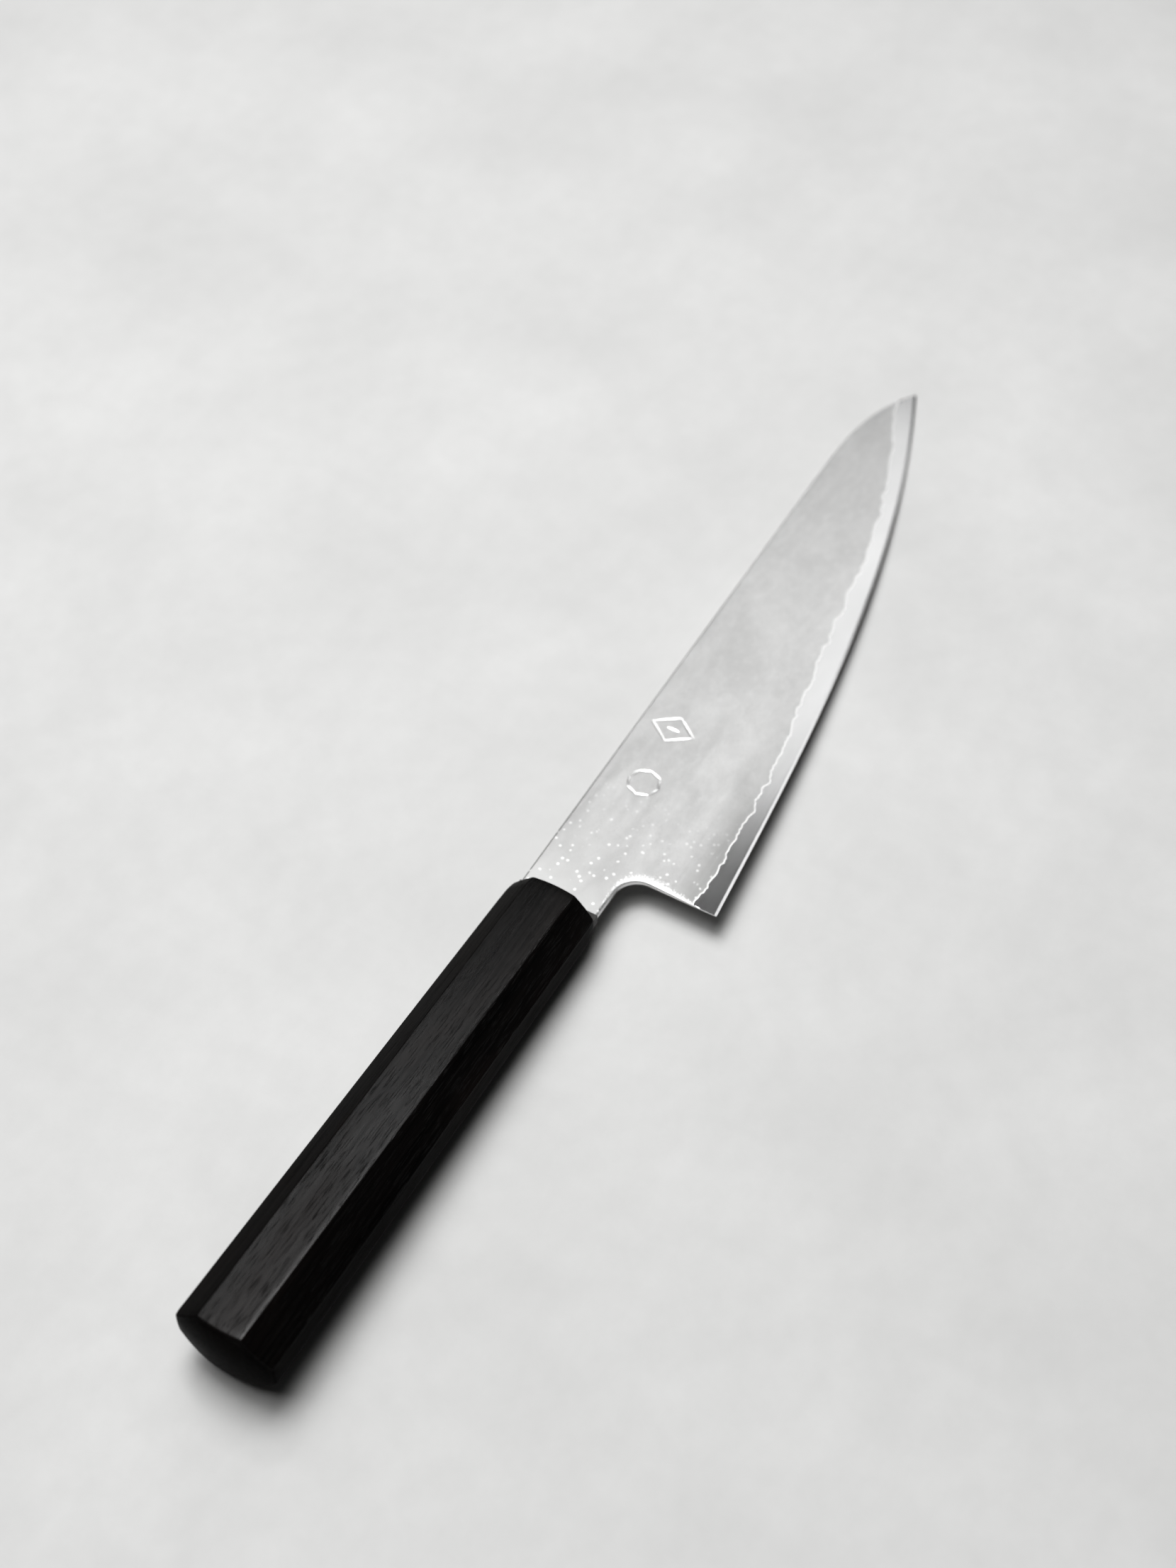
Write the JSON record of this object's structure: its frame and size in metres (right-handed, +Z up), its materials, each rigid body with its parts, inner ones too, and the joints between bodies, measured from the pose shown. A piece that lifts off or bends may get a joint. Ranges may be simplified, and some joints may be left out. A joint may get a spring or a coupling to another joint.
{
  "type": "chef knife",
  "caption": "Japanese chef knife: laminated carbon-steel gyuto blade with a polished core edge, forge-wavy lamination line and a tapered octagonal ebony handle",
  "frame": {"origin": "centre of the handle's lower side facet, the face the knife lies on", "axes": "+X from the butt towards the blade's tip, +Y towards the spine, +Z up, out of the right face of the blade"},
  "size_m": [0.3664, 0.0515, 0.0216],
  "materials": {
    "core_steel": "polished hard carbon steel, with a fine bright sharpened bevel",
    "cladding_iron": "hazy satin soft iron, fine scratches along the blade",
    "ebony": "oiled satin ebony, near black, fine lengthwise grain and pores",
    "epoxy": "cured filled epoxy",
    "neck_wax": "dark satin filler"
  },
  "bodies": {
    "root": {"core_steel": "core_steel", "cladding_right": "cladding_iron", "cladding_left": "cladding_iron", "handle_body": "ebony", "tang_adhesive": "epoxy", "neck_seal": "neck_wax"}
  },
  "joints": []
}
